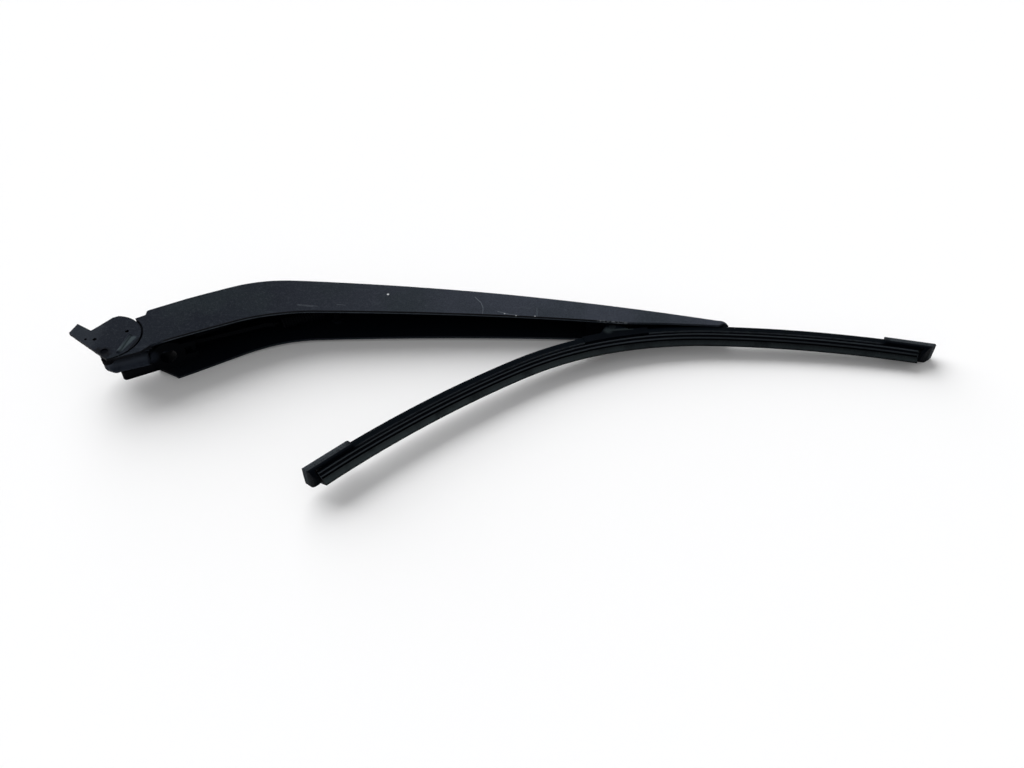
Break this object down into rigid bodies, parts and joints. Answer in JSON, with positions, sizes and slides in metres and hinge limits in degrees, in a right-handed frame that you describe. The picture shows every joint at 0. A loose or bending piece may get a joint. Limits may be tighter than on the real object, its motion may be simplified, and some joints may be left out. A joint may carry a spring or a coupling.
{
  "type": "rear wiper arm with flat blade",
  "caption": "Curved, tapering channel-section rear wiper arm with a hinged mounting head at its root and a jointless flat rubber blade pivoted near its tip.",
  "frame": {"origin": "centre of the spindle bore in the mounting head, on the middle plane of the arm", "axes": "+X along the arm from the mounting head to the tip; +Y away from the glass; +Z across the arm, upwards as it lies on its side"},
  "size_m": [0.4867, 0.1465, 0.0313],
  "materials": {
    "arm_paint": "matt powder coat",
    "head_paint": "painted die casting",
    "steel": "zinc plated",
    "spring_black": "black phosphate",
    "spring_steel": "oiled",
    "bush_bronze": "sintered",
    "washer_plastic": "moulded",
    "adapter_plastic": "moulded, fine grain",
    "cap_plastic": "moulded, coarse grain",
    "blade_rubber": "extruded, matt"
  },
  "bodies": {
    "head": {"mounting_head": "head_paint", "hinge_plate": "arm_paint", "plate_stud": "head_paint", "hinge_pin": "steel", "pin_clip": "steel", "hinge_washer": "washer_plastic"},
    "arm": {"arm_shell": "arm_paint", "hinge_bush": "bush_bronze", "tension_spring": "spring_black", "spring_hook": "spring_black", "spring_anchor_pin": "spring_black", "blade_adapter": "adapter_plastic"},
    "button": {"adapter_button": "adapter_plastic"},
    "blade": {"blade_pivot_pin": "steel", "connector_base": "adapter_plastic", "connector_cover": "adapter_plastic", "spoiler_left": "blade_rubber", "spoiler_right": "blade_rubber", "flexor_upper": "spring_steel", "flexor_lower": "spring_steel", "wiper_rubber": "blade_rubber", "end_cap_left": "cap_plastic", "end_cap_right": "cap_plastic"}
  },
  "joints": [
    {"name": "arm_hinge", "type": "hinge", "parent": "head", "child": "arm", "pos_m": [-0.029, -0.003, 0], "axis": [0, 0, 1], "range_deg": [0, 85], "stiffness_Nm_per_rad": 1, "springref_deg": -57.3},
    {"name": "blade_pivot", "type": "hinge", "parent": "arm", "child": "blade", "pos_m": [0.2526, 0.0273, 0], "axis": [0, 0, 1], "range_deg": [-20, 0]},
    {"name": "button_press", "type": "slide", "parent": "arm", "child": "button", "axis": [0, 1, 0], "range_m": [0, 0.0016], "stiffness_N_per_m": 1500, "springref_m": -0.001}
  ]
}
